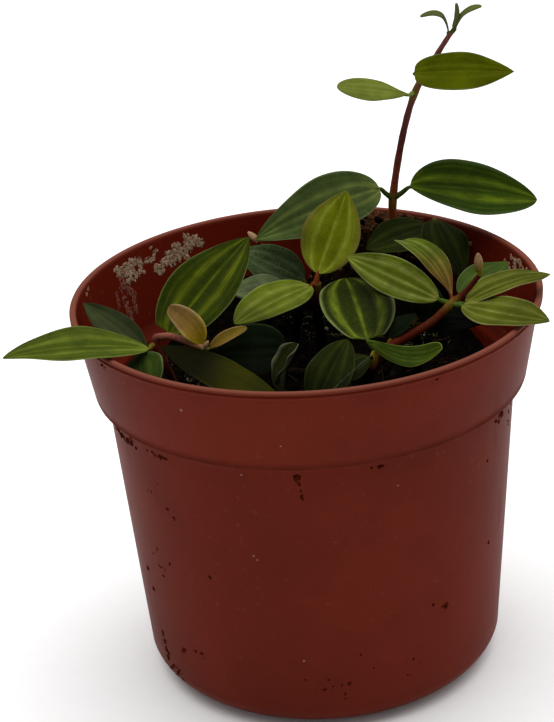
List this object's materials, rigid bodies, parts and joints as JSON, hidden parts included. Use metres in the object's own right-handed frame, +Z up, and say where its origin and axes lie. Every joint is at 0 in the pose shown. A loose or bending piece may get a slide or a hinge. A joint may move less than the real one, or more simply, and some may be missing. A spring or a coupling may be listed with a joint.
{
  "type": "potted plant",
  "caption": "Young trailing peperomia with striped oval leaves on thin reddish stems, in a round terracotta-coloured plastic nursery pot, used as a table plant.",
  "frame": {"origin": "middle of the pot's flat base, on the pot's axis", "axes": "+Z up along the pot's axis; -Y towards the viewer of the picture; +X to the viewer's right"},
  "size_m": [0.1362, 0.12, 0.1636],
  "materials": {
    "terracotta_plastic": "satin moulded plastic, red-brown, with faint scuffs and dried soil",
    "peat": "rough, dark, fibrous peat",
    "dark_leaf": "satin, dark green with paler stripes along the veins",
    "mid_leaf": "satin, mid green with yellow-green stripes along the veins",
    "bright_leaf": "satin, olive green with pale margins and stripes",
    "grey_leaf": "matt, grey-green"
  },
  "bodies": {
    "root": {"pot": "terracotta_plastic", "soil": "peat", "shoot_upright": "dark_leaf", "shoot_left": "mid_leaf", "shoot_centre": "bright_leaf", "shoot_right": "bright_leaf", "shoot_front_left": "dark_leaf", "shoot_front": "dark_leaf", "shoot_back_left": "grey_leaf", "shoot_back_right": "dark_leaf", "shoot_middle_right": "dark_leaf"}
  },
  "joints": []
}
